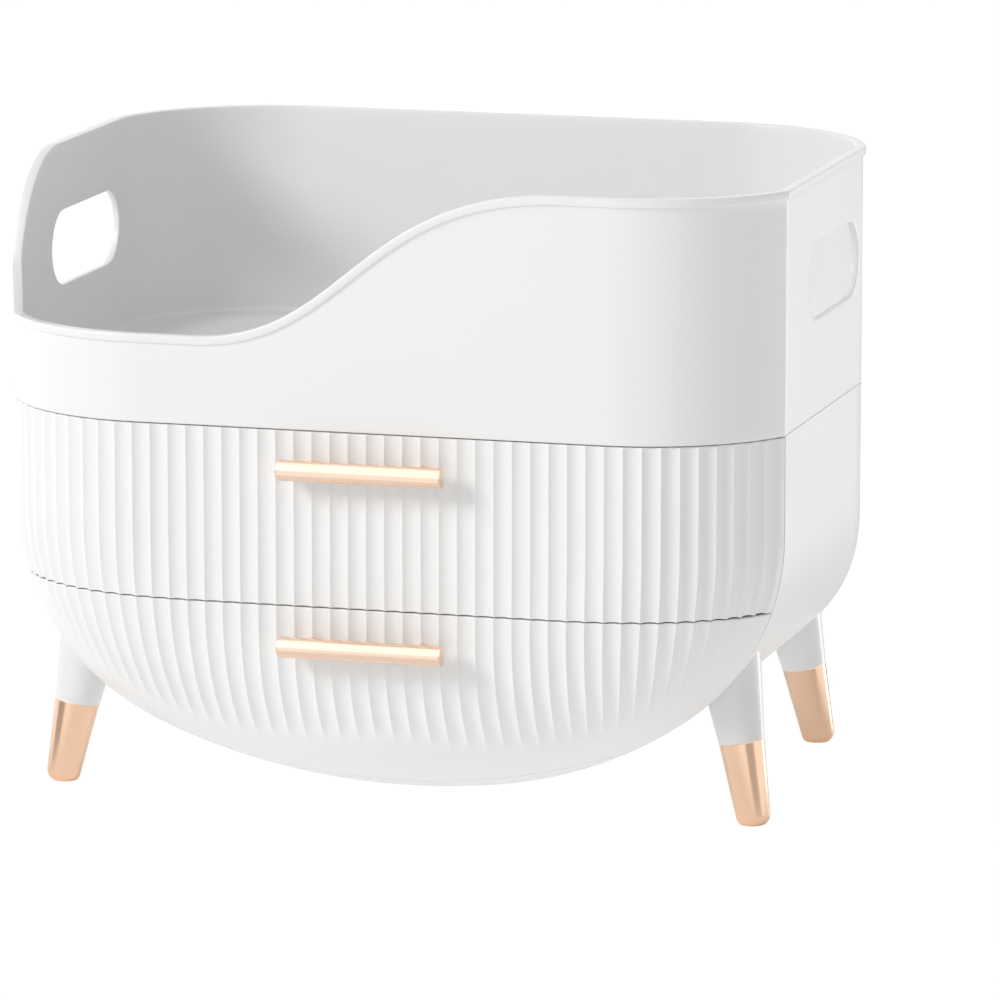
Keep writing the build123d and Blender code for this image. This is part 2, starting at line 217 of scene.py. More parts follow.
class StageSettings(bpy.types.PropertyGroup):
    """Camera and light"""

    yaw: angle("Yaw", 16.101, "Camera's turn to the left")
    pitch: angle("Pitch", 10.747, "Camera's look down")
    roll: angle("Roll", -0.002, "Camera's roll")
    distance: length("Distance", 2.471, "Camera's distance from its aim")
    aim: FloatVectorProperty(name="Aim", description="Point that the camera looks at", subtype="TRANSLATION",
                             default=(-0.00949, 0.09893, 0.07018))
    view_scale: number("View scale", 7.4423, "Focal length as a share of the picture's width")
    key_power: number("Key", 24, "Power of the key lamp", unit="POWER")
    side_power: number("Side", 6.5, "Power of the side lamp", unit="POWER")
    above: number("Above", 0.53, "World light from above")
    below: number("Below", 1.02, "World light from below")
    light_lean: angle("Light lean", 9, "Lean of the world's light to the left")
    gloss_above: number("Gloss above", 1.5, "Brightness that gloss sees above")
    gloss_below: number("Gloss below", 1.12, "Brightness that gloss sees below")
    gap_count: count("Gaps", 3, "Darker upright gaps round the studio")
    gap_turn: angle("Gap turn", 291, "Turn of the gaps")
    gap_level: number("Gap level", 0.46, "Brightness of the gaps")
    floor_reach: length("Floor reach", 3.0, "Distance from the middle to the floor's edges")
    floor_white: number("Floor white", 1.08, "Brightness of the floor's white")
    floor_share: number("Floor share", 0.85, "Share of that white, beside the shadow")
    gloss_share: number("Gloss share", 0.1, "Share of that white as gloss sees it")
    gloss_reach: length("Gloss reach", 0.2, "Distance from the middle to which gloss sees the floor")


# Curves of the body's form

def body_sizes():
    """Sizes of the shared form, as they are set."""
    return bpy.context.scene.organizer_body


def arch_parts(half, radius, bottom):
    """Middle of the side arc, radius of the wide arc under the body, and the angle where the two meet.

    The wide arc touches both side arcs: its centre lies as far over the lowest point as makes them tangent.
    """
    shoulder = body_sizes().side_arc_height
    centre = half - radius
    drop = shoulder - bottom
    wide = (centre**2 + drop**2 - radius**2) / (2 * (drop - radius))
    return centre, wide, math.atan2(centre, bottom + wide - shoulder)


def arch_half(z, half, radius, bottom):
    """Half width of the U outline at each height: full above the side arcs, then side arc, then wide arc."""
    shoulder = body_sizes().side_arc_height
    centre, wide, turn = arch_parts(half, radius, bottom)
    on_side = centre + np.sqrt(np.maximum(radius**2 - (shoulder - z) ** 2, 0))
    on_wide = np.sqrt(np.maximum(wide**2 - (bottom + wide - z) ** 2, 0))
    on_arc = np.where(z >= shoulder - radius * math.cos(turn), on_side, on_wide)
    return np.where(z >= shoulder, half, on_arc)


def arch_inset(x, z, half, radius, bottom):
    """Distance of each point inside the U outline, square to the side line, side arc or wide arc it faces."""
    shoulder = body_sizes().side_arc_height
    centre, wide, turn = arch_parts(half, radius, bottom)
    x = np.abs(x)
    from_side = radius - np.hypot(x - centre, shoulder - z)
    from_wide = wide - np.hypot(x, bottom + wide - z)
    from_arc = np.where(np.arctan2(x - centre, shoulder - z) > turn, from_side, from_wide)
    return np.where(z >= shoulder, half - x, from_arc)


def casing_arch(inset=0.0):
    """Half width, side arc radius and lowest height of the casing's U outline at an inset."""
    sizes = body_sizes()
    return half_width - inset, sizes.side_arc - inset, sizes.belly_bottom + inset


def arc_reach(radius, bow):
    """How far sideways an arc goes from its tangent line until it has fallen away by its bow."""
    return math.sqrt(radius**2 - (radius - bow) ** 2)


def front_arch():
    """The rounded front's own U outline: wider than the casing by its overhang, and a little deeper."""
    sizes = body_sizes()
    overhang = sizes.front_round - arc_reach(sizes.front_round, crease_y - front_face)
    return half_width + overhang, sizes.front_side_arc, sizes.belly_bottom - sizes.front_sink


def front_depth(x, z):
    """Y of the rounded front: flat in the middle and a quarter round of one radius towards its U outline."""
    radius = body_sizes().front_round
    near = np.clip(arch_inset(x, z, *front_arch()), 0, radius)
    return front_face + radius - np.sqrt(np.maximum(radius**2 - (radius - near) ** 2, 0))


def front_normal(x, z):
    """Outward normal of the rounded front, from the slopes of its depth over x and z."""
    step = 10 * tolerance
    slope_x = (front_depth(x + step, z) - front_depth(x - step, z)) / (2 * step)
    slope_z = (front_depth(x, z + step) - front_depth(x, z - step)) / (2 * step)
    return unit(grid(slope_x, -1, slope_z))


class Plan:
    """The outline seen from above: flat front, front arc, rounded crease, side, back arc and flat back.

    A place on it is a signed distance along the outline from the front's middle, left negative,
    and an inset square to it. Each stretch of an inset outline is walked in proportion to the outer one.
    """

    table_points = 4001

    def __init__(self):
        sizes = body_sizes()
        self.front_round, self.back_round = sizes.front_round, sizes.back_round
        self.crease, self.inner_crease = sizes.crease_round, sizes.inner_crease
        self.front_x = half_width - arc_reach(self.front_round, crease_y - front_face)
        self.front_y = front_face + self.front_round
        self.back_x = half_width - arc_reach(self.back_round, sizes.back_bow)
        self.back_y = back_face - self.back_round
        _, corner_y, turn = self.corner(self.crease)
        start = self.back_turn(0.0)
        side = self.back_y + self.back_round * math.sin(start) - corner_y
        lengths = [self.front_x, self.front_round * (turn + right_angle), -self.crease * turn, side,
                   self.back_round * (right_angle - start), self.back_x]
        self.marks = np.concatenate([[0.0], np.cumsum(lengths)])
        self.whole = self.marks[-1]

    def corner(self, inset):
        """Corner where the inset front arc meets the inset side, and the arc's angle there."""
        x = half_width - inset
        reach = self.front_round - inset
        y = self.front_y - np.sqrt(reach**2 - (x - self.front_x) ** 2)
        return x, y, -np.arccos((x - self.front_x) / reach)

    def back_turn(self, inset):
        """Angle at which the back arc meets the inset side."""
        return np.arccos((half_width - inset - self.back_x) / (self.back_round - inset))

    def point(self, along, inset):
        """X and Y of places along the outline at an inset."""
        along, inset = np.broadcast_arrays(along, inset)
        far = np.minimum(np.abs(along), self.whole)
        last = self.marks.size - 2
        stretch = np.clip(np.searchsorted(self.marks, far, side="right") - 1, 0, last)
        share = (far - self.marks[stretch]) / (self.marks[stretch + 1] - self.marks[stretch])
        small = np.maximum(self.crease - inset, self.inner_crease)
        corner_x, corner_y, turn = self.corner(inset + small)
        start = self.back_turn(inset)
        front_angle = -right_angle + share * (turn + right_angle)
        crease_angle = turn * (1 - share)
        back_angle = start + share * (right_angle - start)
        front_reach, back_reach = self.front_round - inset, self.back_round - inset
        side_end = self.back_y + back_reach * np.sin(start)
        x = np.choose(stretch, [
            share * self.front_x,
            self.front_x + front_reach * np.cos(front_angle),
            corner_x + small * np.cos(crease_angle),
            half_width - inset,
            self.back_x + back_reach * np.cos(back_angle),
            self.back_x * (1 - share)])
        y = np.choose(stretch, [
            front_face + inset,
            self.front_y + front_reach * np.sin(front_angle),
            corner_y + small * np.sin(crease_angle),
            corner_y + share * (side_end - corner_y),
            self.back_y + back_reach * np.sin(back_angle),
            back_face - inset])
        return np.sign(along) * x, y

    def surface(self, along, inset, height):
        """Points at places along the outline, insets and heights."""
        return grid(*self.point(along, inset), height)

    def along_of_y(self, y):
        """Distance along the right half for a Y between front and back."""
        table = np.linspace(0, self.whole, self.table_points)
        return np.interp(y, self.point(table, 0.0)[1], table)


def turning_place(size, low, high, holds):
    """Places between two bounds where a test that holds at the low one fails, by halving the interval."""
    low, high = np.full(size, low), np.full(size, high)
    for _ in range(halvings):
        middle = (low + high) / 2
        still = holds(middle)
        low, high = np.where(still, middle, low), np.where(still, high, middle)
    return (low + high) / 2


def unit(vectors):
    """Vectors of length one in the same directions."""
    return vectors / np.maximum(np.linalg.norm(vectors, axis=-1, keepdims=True), tiny)


def steps(rows):
    """Shares from none to all in equal steps, as a column."""
    return np.linspace(0, 1, rows)[:, None]


def quarter_round(radius, points=corner_points):
    """Quarter round from a face to the top of its edge: each step's distances below the top and in."""
    turn = np.linspace(0, right_angle, points)
    return radius * (1 - np.sin(turn)), radius * (1 - np.cos(turn))


# Meshes from patches

def piece_mesh(name, patches, closed=True):
    """One mesh from grids of points: neighbouring points become quads, and shared borders are merged."""
    points, faces, first = [], [], 0
    for patch in patches:
        rows, columns = patch.shape[:2]
        index = first + np.arange(rows * columns).reshape(rows, columns)
        quads = np.stack([index[:-1, :-1], index[:-1, 1:], index[1:, 1:], index[1:, :-1]], -1)
        points.append(patch.reshape(-1, 3))
        faces.append(quads.reshape(-1, 4))
        first += rows * columns
    mesh = bpy.data.meshes.new(name)
    mesh.from_pydata(np.concatenate(points).tolist(), [], np.concatenate(faces).tolist())
    built = bmesh.new()
    built.from_mesh(mesh)
    bmesh.ops.remove_doubles(built, verts=built.verts, dist=merge_distance)
    bmesh.ops.dissolve_degenerate(built, edges=built.edges, dist=least_edge)
    bmesh.ops.recalc_face_normals(built, faces=built.faces)
    odd = [tuple(round(c, 4) for c in edge.verts[0].co) for edge in built.edges if not edge.is_manifold]
    if closed and odd:
        raise RuntimeError(f"{name} isn't closed: {len(odd)} edges, near {odd[:4]}")
    built.to_mesh(mesh)
    built.free()
    return mesh


def finish_piece(name, patches, material, body, replaced, bevel=0.0):
    """Makes the object, shades it smooth between its sharp edges, ties it to its body and hides the imported
    part it replaces.
    """
    mesh = piece_mesh(name, patches)
    mesh.shade_smooth()
    mesh.set_sharp_from_angle(angle=smooth_limit)
    mesh.materials.append(material)
    piece = bpy.data.objects.new(name, mesh)
    bpy.context.scene.collection.objects.link(piece)
    if bevel:
        rounding = piece.modifiers.new("Rounded edges", "BEVEL")
        rounding.width = bevel
        rounding.segments = 2
        rounding.limit_method = "ANGLE"
        rounding.angle_limit = bevel_limit
        rounding.harden_normals = True
    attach(piece, body)
    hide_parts(replaced)


def grid(x, y, z):
    """Stacks three arrays of one grid into an array of points."""
    return np.stack(np.broadcast_arrays(x, y, z), -1)


def strip(first, second):
    """A one-quad-wide patch between two rows of points."""
    return np.stack([first, second])


def fan(ring, height, shares):
    """A patch that draws a row of points in to the middle of the body at a height, by shares of the way."""
    shares = np.array(shares)[:, None, None]
    return ring[None] * (1 - shares) + np.array([0, middle_y, height]) * shares


def round_over(distance, radius):
    """How far a surface falls away beside an edge: a quarter round of a radius, by distance from the edge."""
    near = np.clip(radius - distance, 0, radius)
    return radius - np.sqrt(radius**2 - near**2)


# Materials

def add_node(tree, kind, inputs=None, **settings):
    """Adds a shader node, sets it up, and puts a value or another node's output into each input named."""
    node = tree.nodes.new("ShaderNode" + kind)
    for setting, value in settings.items():
        setattr(node, setting, value)
    for socket, value in (inputs or {}).items():
        if isinstance(value, bpy.types.NodeSocket):
            tree.links.new(value, node.inputs[socket])
        else:
            node.inputs[socket].default_value = value
    return node


def calculate(tree, operation, *values):
    """Output of a math node for numbers or other nodes' outputs."""
    return add_node(tree, "Math", dict(enumerate(values)), operation=operation).outputs[0]


def moulded_group():
    """Fine moulded surface: a soft mottling of the gloss and a faint ripple, both from object coordinates."""
    name = "Moulded surface"
    if name in bpy.data.node_groups:
        return bpy.data.node_groups[name]
    tree = bpy.data.node_groups.new(name, "ShaderNodeTree")
    inputs = {"Scale": "Float", "Roughness": "Float", "Spread": "Float", "Ripple": "Float",
              "Colour": "Color", "Shade": "Color"}
    outputs = {"Colour": "Color", "Roughness": "Float", "Normal": "Vector"}
    for way, sockets in (("INPUT", inputs), ("OUTPUT", outputs)):
        for label, kind in sockets.items():
            tree.interface.new_socket(label, in_out=way, socket_type="NodeSocket" + kind)
    given = tree.nodes.new("NodeGroupInput").outputs
    result = tree.nodes.new("NodeGroupOutput").inputs
    place = add_node(tree, "TexCoord").outputs["Object"]
    fine = add_node(tree, "TexNoise", {"Vector": place, "Scale": given["Scale"], "Detail": 3.0})
    broad = add_node(tree, "TexNoise", {"Vector": place, "Scale": 22.0, "Detail": 2.0}).outputs["Fac"]
    tone = add_node(tree, "Mix", {"Factor": broad, "A": given["Colour"], "B": given["Shade"]},
                    data_type="RGBA")
    relief = add_node(tree, "Bump", {"Strength": given["Ripple"], "Distance": 0.0001,
                                     "Height": fine.outputs["Fac"]})
    gloss = calculate(tree, "MULTIPLY_ADD", broad, given["Spread"], given["Roughness"])
    tree.links.new(tone.outputs["Result"], result["Colour"])
    tree.links.new(gloss, result["Roughness"])
    tree.links.new(relief.outputs["Normal"], result["Normal"])
    return tree


def surface_material(name, tint, shade, roughness, spread, ripple, scale, metallic=0.0, coat=0.0):
    """A Principled material whose colour, gloss and fine relief come from the moulded surface group.

    The tint is one of the finishes, and the mottling darkens it at most to its shade.
    """
    if name in bpy.data.materials:
        return bpy.data.materials[name]
    tint = getattr(bpy.context.scene.organizer_finish, tint)
    material = bpy.data.materials.new(name)
    material.use_nodes = True
    tree = material.node_tree
    values = {"Scale": scale, "Roughness": roughness, "Spread": spread, "Ripple": ripple,
              "Colour": (*tint, 1), "Shade": (*[c * shade for c in tint], 1)}
    effect = add_node(tree, "Group", node_tree=moulded_group())
    for label, value in values.items():
        effect.inputs[label].default_value = value
    shader = tree.nodes["Principled BSDF"].inputs
    shader["Metallic"].default_value = metallic
    shader["Coat Weight"].default_value = coat
    shader["Coat Roughness"].default_value = 0.12
    for output, socket in (("Colour", "Base Color"), ("Roughness", "Roughness"), ("Normal", "Normal")):
        tree.links.new(effect.outputs[output], shader[socket])
    return material


def white_plastic():
    return surface_material("White plastic", "white", shade=0.985, roughness=0.34, spread=0.06, ripple=0.12,
                            scale=1400.0, coat=0.12)


# Painted shade: the same white plastic, darker, standing in for the shade under the body.
def shaded_leg_plastic():
    return surface_material("Leg plastic", "leg", shade=0.97, roughness=0.36, spread=0.06, ripple=0.12,
                            scale=1400.0, coat=0.12)


def inner_plastic():
    return surface_material("Inner plastic", "inner", shade=0.97, roughness=0.46, spread=0.08, ripple=0.25,
                            scale=1100.0)


def polished_metal(name, tint):
    """Bright metal of the bars, posts and caps."""
    return surface_material(name, tint, shade=0.94, roughness=0.16, spread=0.05, ripple=0.04,
                            scale=2400.0, metallic=1.0)


def rose_gold():
    return polished_metal("Rose gold", "gold")


# Painted reflection: a paler copy of the rose gold, standing in for the brighter surroundings that the bars
# reflect.
def pale_gold():
    return polished_metal("Pale rose gold", "pale_gold")


def steel():
    return surface_material("Steel", "steel", shade=0.9, roughness=0.28, spread=0.10, ripple=0.10,
                            scale=2000.0, metallic=1.0)


def brass():
    return surface_material("Brass", "brass", shade=0.9, roughness=0.30, spread=0.10, ripple=0.10,
                            scale=2000.0, metallic=1.0)


def dress_nodes(material, *names):
    """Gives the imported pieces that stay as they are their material."""
    for name in names:
        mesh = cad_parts[name].data
        mesh.materials.clear()
        mesh.materials.append(material)


# Operators, one for each piece or group of like pieces

class ORGANIZER_OT_tray(bpy.types.Operator):
    """Top tray: walls under a sweeping rim with its lip, floor, locating skirt and hand holes"""

    bl_idname = "organizer.tray"
    bl_label = "Build tray"

    rim_step = 3e-3
    low_rim_step = 1.5e-3
    rise_points = 64
    turn_points = 15
    sweep_points = 120
    side_cells = (44, 4, 33, 35, 15)
    lip_downs = (0, 1.5e-4, 4e-4, 9e-4)
    lip_shares = (0, 0.1, 0.75, 1)
    wall_rows = 27
    hole_rows = 6

    def rim_curve(self, plan, sizes):
        """Rim as places along the outline and heights, with the direction into the wall square to it.

        Left wall: level, then a quarter ellipse down to the low rim. Front: level, then a cubic Bezier
        up to the full height. Right and back: level. Where the rise meets the low rim, the direction
        turns through a right angle at one point.
        """
        low = seam_height + sizes.floor_rise + sizes.low_wall
        climb = tray_top - low
        foot_y = crease_y - sizes.rise_start
        foot = -plan.along_of_y(foot_y)
        turn = np.linspace(right_angle, 0, self.rise_points)
        rise = -plan.along_of_y(foot_y + sizes.rise_length * (1 - np.cos(turn)))
        rise_slope = np.arctan2(-climb * np.cos(turn), sizes.rise_length * np.sin(turn))
        level_left = np.arange(-plan.whole, rise[0] - self.rim_step, self.rim_step)
        foot_slope = np.linspace(-right_angle, 0, self.turn_points)[1:-1]
        level_low = np.arange(foot, sizes.low_end - self.low_rim_step * 2 / 3, self.low_rim_step)[1:]
        t = np.linspace(0, 1, self.sweep_points)
        shares = [(1 - t) ** 3, 3 * t * (1 - t) ** 2, 3 * t**2 * (1 - t), t**3]
        pulls = [sizes.low_end, sizes.low_end + sizes.low_pull,
                 sizes.high_start - sizes.high_pull, sizes.high_start]
        sweep = sum(pull * share for pull, share in zip(pulls, shares))
        sweep_height = low + climb * (shares[2] + shares[3])
        sweep_slope = np.arctan2(np.gradient(sweep_height), np.gradient(sweep))
        marks = plan.marks
        level_front = np.arange(sizes.high_start, marks[1], self.rim_step)[1:]
        level_side = [np.linspace(start, end, cells + 1)[1:]
                      for start, end, cells in zip(marks[1:], marks[2:], self.side_cells)]
        level_right = np.concatenate([level_front, marks[1:2], *level_side])
        stretches = [(level_left, tray_top, 0.0), (rise, low + climb * np.sin(turn), rise_slope),
                     (foot, low, foot_slope), (level_low, low, 0.0),
                     (sweep, sweep_height, sweep_slope), (level_right, tray_top, 0.0)]
        columns = zip(*[np.broadcast_arrays(*stretch) for stretch in stretches])
        along, height, slope = [np.concatenate(column) for column in columns]
        return along, height, np.sin(slope), -np.cos(slope)

    def rim_section(self, sizes):
        """The rim's section as distances down from its top and insets: lip, upper edges, inner edge."""
        down, across = quarter_round(sizes.lip_round)
        under_lip = sizes.lip_height - np.array(self.lip_downs)
        lip = -sizes.lip * np.array(self.lip_shares)
        downs = np.concatenate([under_lip, down, down[::-1], [sizes.lip_height]])
        insets = np.concatenate([lip, across - sizes.lip, sizes.wall - across[::-1], [sizes.wall]])
        return downs[:, None], insets[:, None]

    def slot_ring(self, rays, grow, sizes):
        """Points of a round-ended slot on rays from its middle: flat sides between two half rounds."""
        radius = sizes.hole_height / 2
        reach = sizes.hole_length / 2 - radius
        full = radius + grow
        rays = unit(rays)
        cosine, sine = np.abs(rays[:, 0]), np.abs(rays[:, 1])
        flat = full / np.maximum(sine, tiny)
        rounded = reach * cosine + np.sqrt(np.maximum(full**2 - (reach * sine) ** 2, 0))
        return rays * np.where(flat * cosine <= reach, flat, rounded)[:, None]

    def left_out(self, face, side, plan, sizes):
        """First and last column and row of the cells left out of a face round a hand hole.

        The number of rows is the same on both faces of the wall.
        """
        reach = sizes.hole_length / 2 + sizes.hole_margin
        columns = np.flatnonzero(np.abs(face[0, :, 0] - side * plan.along_of_y(sizes.hole_y)) < reach)
        first, last = columns[0] - 1, columns[-1] + 1
        off = face[:, (first + last) // 2, 1] - tray_top + sizes.hole_drop
        row = np.flatnonzero(np.abs(off) < sizes.hole_height / 2 + sizes.hole_margin)[0] - 1
        return first, last, row, row + sizes.hole_row_count

    def cut_face(self, points, blocks):
        """One face of the wall in patches round the cells that are left out."""
        patches, start = [], 0
        for first, last, high, low in blocks:
            patches += [points[:, start:first + 1], points[:high + 1, first:last + 1],
                        points[low:, first:last + 1]]
            start = last
        return [*patches, points[:, start:]]

    def border(self, face, block):
        """Closed loop of points round the cells that are left out."""
        first, last, high, low = block
        return np.concatenate([face[high, first:last], face[high:low, last], face[low, last:first:-1],
                               face[low:high:-1, first], face[high, first:first + 1]])

    def hand_hole(self, plan, sizes, side, loops):
        """Patch round one hand hole, on both faces of the wall, and the rounded way through it.

        The border of the cells left out of the wall is drawn in towards the slot along rays from its
        middle, then rounds over into the hole and out again on the inner face.
        """
        middle = np.array([side * plan.along_of_y(sizes.hole_y), tray_top - sizes.hole_drop])
        rays = [unit(loop - middle) for loop in loops]
        patches = []
        shares = steps(self.hole_rows)[..., None]
        for loop, ray, inset in zip(loops, rays, (0.0, sizes.wall)):
            slot = middle + self.slot_ring(ray, sizes.hole_round, sizes)
            flat = loop * (1 - shares) + slot * shares
            patches.append(plan.surface(flat[..., 0], inset, flat[..., 1]))
        grow, depth = quarter_round(sizes.hole_round)
        grows = np.concatenate([grow, grow[::-1]])
        insets = np.concatenate([depth, sizes.wall - depth[::-1]])
        through = []
        for share, wider, inset in zip(np.linspace(0, 1, grows.size), grows, insets):
            ring = middle + self.slot_ring(rays[0] * (1 - share) + rays[1] * share, wider, sizes)
            through.append(plan.surface(ring[:, 0], inset, ring[:, 1]))
        return [*patches, np.stack(through)]

    def wall(self, plan, sizes, line, lower_edges):
        """Outer and inner face of the wall, from the rim down to their lower edges, with the hand holes."""
        along, top = line
        patches, loops = [], []
        for lower_edge, inset in zip(lower_edges, (0.0, sizes.wall)):
            height = top + (lower_edge - top) * steps(self.wall_rows)
            face = np.stack(np.broadcast_arrays(along, height), -1)
            blocks = [self.left_out(face, side, plan, sizes) for side in (-1, 1)]
            patches += self.cut_face(plan.surface(along, inset, height), blocks)
            loops.append([self.border(face, block) for block in blocks])
        for side, *both in zip((-1, 1), *loops):
            patches += self.hand_hole(plan, sizes, side, both)
        return patches

    def floor(self, plan, sizes, along, height):
        """Rounded foot of the wall's inner face, and the floor, drawn in to its middle."""
        down, across = quarter_round(sizes.floor_round, points=6)
        fillet = plan.surface(along, sizes.wall + across[:, None], height + down[:, None])
        return [fillet, fan(fillet[-1], height, shares=(0, 0.1, 0.4, 0.7, 1))]

    def underside(self, plan, sizes, along, height):
        """Rounded lower edge of the wall, locating skirt inside the casing and underside of the floor.

        Over the drawers the skirt is only a trace.
        """
        edge = body_sizes().edge_round
        in_casing = plan.point(along, 0.0)[1] > casing_front + edge
        depth = np.where(in_casing, sizes.skirt_depth, sizes.skirt_trace)
        down, across = quarter_round(edge, points=4)
        outer, inner = sizes.skirt_inset, sizes.skirt_inset + sizes.skirt_wall
        insets = np.array([*across, outer, outer, inner, inner])[:, None]
        levels = np.array([*(seam_height + down), seam_height, seam_height, seam_height, height])[:, None]
        on_skirt = np.array([0, 0, 0, 0, 0, 1, 1, 0])[:, None]
        below = plan.surface(along, insets, levels - on_skirt * depth)
        return [below, fan(below[-1], height, shares=(0, 0.1, 0.5, 1))]

    def execute(self, context):
        sizes = context.scene.organizer_tray
        plan = Plan()
        along, height, into_along, into_height = self.rim_curve(plan, sizes)
        down, inset = self.rim_section(sizes)
        rim_along, rim_height = along + down * into_along, height + down * into_height
        line = rim_along[0], rim_height[0]
        floor = seam_height + sizes.floor_rise
        lower_edges = seam_height + body_sizes().edge_round, floor + sizes.floor_round
        patches = [plan.surface(rim_along, inset, rim_height),
                   *self.wall(plan, sizes, line, lower_edges),
                   *self.floor(plan, sizes, line[0], floor),
                   *self.underside(plan, sizes, line[0], floor - sizes.floor_thick)]
        finish_piece("tray", patches, white_plastic(), "body", "top_tray")
        dress_nodes(steel(), "tray_screws")
        return {"FINISHED"}


class ORGANIZER_OT_casing(bpy.types.Operator):
    """Casing: U-shaped shell open at the front and the top, with its sill"""

    bl_idname = "organizer.casing"
    bl_label = "Build casing"

    side_points = 12
    bend_points = 60
    belly_points = 150
    wall_rows = 14
    sill_rows = 5
    belly_rows = 7
    belly_reach = 0.02
    sill_step = 1e-3
    sill_rise = 4e-4
    row_gap = 1e-4

    def outline(self, inset):
        """Points of the inset U outline from the left seam round the belly to the right seam.

        Equal steps down the straight side, round the side arc and along the wide arc.
        """
        half, radius, bottom = casing_arch(inset)
        centre, wide, turn = arch_parts(half, radius, bottom)
        shoulder = body_sizes().side_arc_height
        down = np.linspace(seam_height, shoulder, self.side_points)
        side = np.linspace(right_angle, turn, self.bend_points)[1:]
        under = np.linspace(turn, 0, self.belly_points)[1:]
        x = np.concatenate([np.full(down.size, half), centre + radius * np.sin(side), wide * np.sin(under)])
        z = np.concatenate([down, shoulder - radius * np.cos(side), bottom + wide - wide * np.cos(under)])
        return np.concatenate([-x, x[-2::-1]]), np.concatenate([z, z[-2::-1]])

    def back_depth(self, x, inset):
        """Y of the back wall: flat in the middle, with upright round corners."""
        plan = Plan()
        off = np.maximum(np.abs(x) - plan.back_x, 0)
        return plan.back_y + np.sqrt(np.maximum((plan.back_round - inset) ** 2 - off**2, 0))

    def back_wall(self, x, z, back):
        """Upright lines from the outline's lower part to the seam."""
        lower = slice(self.side_points - 1, 1 - self.side_points)
        upright = z[lower] + (seam_height - z[lower]) * steps(self.side_points)
        return grid(x[lower], back[lower], upright)

    def outer_skin(self):
        """Belly, walls and back wall: each point of the U outline is carried along Y to the back wall."""
        x, z = self.outline(0.0)
        back = self.back_depth(x, 0.0)
        start = np.minimum(np.maximum(front_depth(x, z), casing_front), back)
        walls = grid(x, start + (back - start) * steps(self.wall_rows), z)
        return self.belly(x, z, start), walls, self.back_wall(x, z, back)

    def inner_skin(self, parting):
        """Walls and back wall one wall inside, with the sill in front.

        On the belly the first row stands a little over the parting line, so that the rim between them
        faces the drawer.
        """
        sizes = body_sizes()
        x, z = self.outline(sizes.casing_wall)
        back = self.back_depth(x, sizes.casing_wall)
        sill_end = front_face + sizes.front_round
        rows = np.linspace(casing_front + self.sill_step, sill_end, self.sill_rows - 1)
        sill_height = np.maximum(z, sizes.deck_height)
        sill = grid(x, np.array([casing_front, *rows])[:, None], sill_height)
        on_belly = parting[:, 2] > self.outline(0.0)[1] + 10 * tolerance
        raised = np.maximum(sill_height, parting[:, 2] + self.sill_rise)
        sill[0, :, 2] = np.where(on_belly, raised, sill_height)
        start = sill_end + self.row_gap
        walls = grid(x, start + (back - start) * steps(self.wall_rows - self.sill_rows), z)
        return np.concatenate([sill, walls]), self.back_wall(x, z, back)

    def belly(self, x, z, start):
        """Belly under the lower drawer: the rounded front's own surface.

        It runs from the parting plane down to the U outline. The way in from the outline goes towards
        the middle at the shoulders' height, as far as the rounded front stays behind that plane.
        """
        shoulder = body_sizes().side_arc_height
        in_x, in_z = unit(np.stack([-x, shoulder - z], -1)).T
        reach = turning_place(x.size, 0.0, self.belly_reach,
                              lambda far: front_depth(x + in_x * far, z + in_z * far) > casing_front)
        reach = np.where(start > casing_front + tolerance, reach, 0)
        way = reach * steps(self.belly_rows)[::-1]
        belly_x, belly_z = x + in_x * way, z + in_z * way
        belly_y = np.where(reach > 0, front_depth(belly_x, belly_z), casing_front)
        belly_y[0], belly_y[-1] = casing_front, start
        return grid(belly_x, belly_y, belly_z)

    def execute(self, context):
        belly, outer_walls, outer_back = self.outer_skin()
        inner_walls, inner_back = self.inner_skin(belly[0])
        patches = [belly, outer_walls, outer_back, inner_walls, inner_back, strip(belly[0], inner_walls[0]),
                   strip(outer_walls[:, 0], inner_walls[:, 0]), strip(outer_walls[:, -1], inner_walls[:, -1]),
                   strip(outer_back[-1], inner_back[-1])]
        finish_piece("casing", patches, white_plastic(), "body", "casing_shell",
                     bevel=body_sizes().edge_round / 2)
        dress_nodes(inner_plastic(), "drawer_shelf", "drawer_deck")
        dress_nodes(brass(), "leg_inserts")
        return {"FINISHED"}


